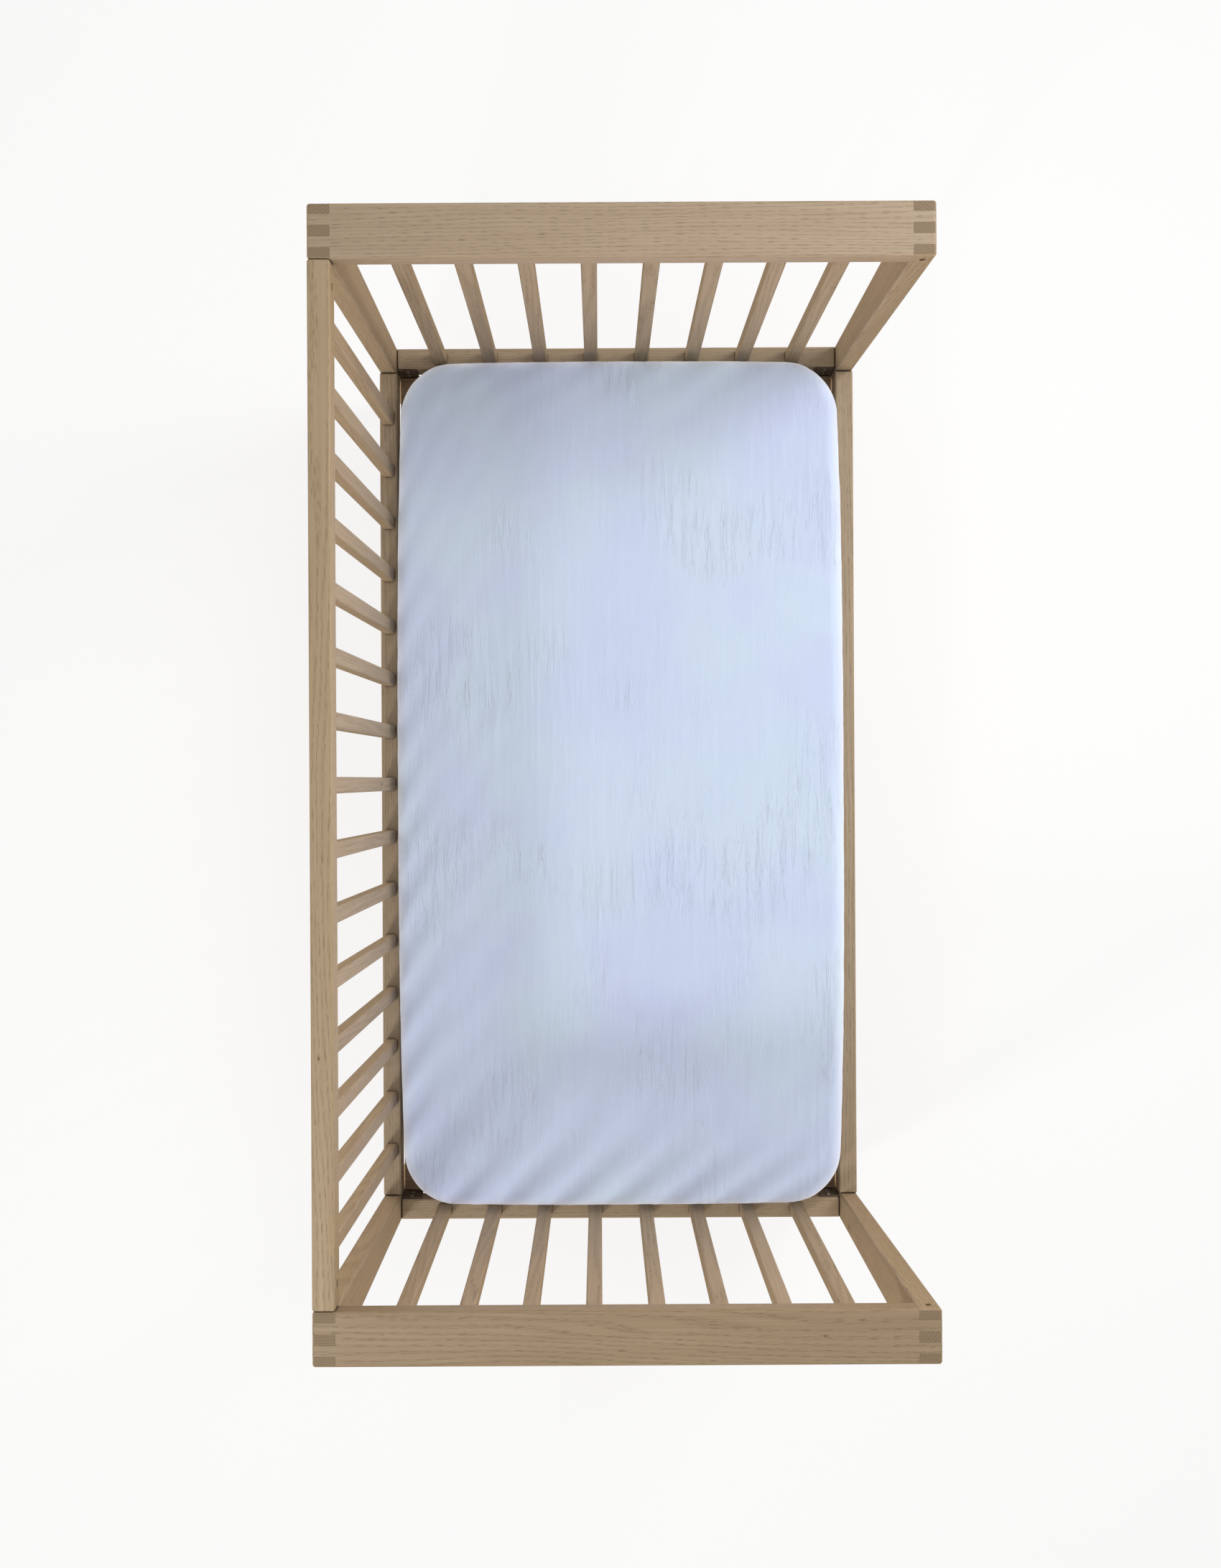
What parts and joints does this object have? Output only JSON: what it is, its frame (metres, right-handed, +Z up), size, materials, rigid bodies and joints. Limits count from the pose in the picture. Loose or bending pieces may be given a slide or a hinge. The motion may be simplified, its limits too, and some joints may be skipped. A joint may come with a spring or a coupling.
{
  "type": "baby crib",
  "caption": "Wooden baby crib with finger-jointed end frames, slatted ends and back, an open front with a low rail, and a mattress in a fitted sheet.",
  "frame": {"origin": "on the floor, midway between the four feet", "axes": "+X along the crib towards the head end, +Y towards the slatted back (the open front is -Y), +Z up"},
  "size_m": [1.412, 0.764, 0.9],
  "materials": {
    "washed_oak": "washed light oak, satin lacquer, eased edges",
    "base_timber": "plain planed timber, unlacquered",
    "zinc_steel": "zinc-plated steel",
    "bracket_steel": "dark powder-coated pressed steel",
    "glide_plastic": "moulded nail-on glide",
    "mattress_foam": "foam core in white ticking",
    "sheet_cotton": "pale ice-blue cotton muslin, finely crinkled"
  },
  "bodies": {
    "crib_frame": {"back_bottom_rail": "washed_oak", "back_slat_1": "washed_oak", "back_slat_10": "washed_oak", "back_slat_11": "washed_oak", "back_slat_12": "washed_oak", "back_slat_13": "washed_oak", "back_slat_14": "washed_oak", "back_slat_15": "washed_oak", "back_slat_2": "washed_oak", "back_slat_3": "washed_oak", "back_slat_4": "washed_oak", "back_slat_5": "washed_oak", "back_slat_6": "washed_oak", "back_slat_7": "washed_oak", "back_slat_8": "washed_oak", "back_slat_9": "washed_oak", "back_top_rail": "washed_oak", "barrel_nuts": "zinc_steel", "base_back_bearer": "base_timber", "base_brackets": "bracket_steel", "base_foot_bearer": "base_timber", "base_front_bearer": "base_timber", "base_head_bearer": "base_timber", "base_slat_screws": "zinc_steel", "base_slats": "base_timber", "bracket_screws": "zinc_steel", "connector_bolts": "zinc_steel", "floor_glides": "glide_plastic", "foot_back_post": "washed_oak", "foot_bottom_rail": "washed_oak", "foot_front_post": "washed_oak", "foot_slat_1": "washed_oak", "foot_slat_2": "washed_oak", "foot_slat_3": "washed_oak", "foot_slat_4": "washed_oak", "foot_slat_5": "washed_oak", "foot_slat_6": "washed_oak", "foot_slat_7": "washed_oak", "foot_slat_8": "washed_oak", "foot_top_board": "washed_oak", "front_low_rail": "washed_oak", "head_back_post": "washed_oak", "head_bottom_rail": "washed_oak", "head_front_post": "washed_oak", "head_slat_1": "washed_oak", "head_slat_2": "washed_oak", "head_slat_3": "washed_oak", "head_slat_4": "washed_oak", "head_slat_5": "washed_oak", "head_slat_6": "washed_oak", "head_slat_7": "washed_oak", "head_slat_8": "washed_oak", "head_top_board": "washed_oak", "rail_dowels": "base_timber"},
    "mattress": {"mattress_core": "mattress_foam", "fitted_sheet": "sheet_cotton"}
  },
  "joints": [
    {"name": "mattress_lift", "type": "slide", "parent": "crib_frame", "child": "mattress", "axis": [0, 0, 1], "range_m": [0, 0.45]}
  ]
}
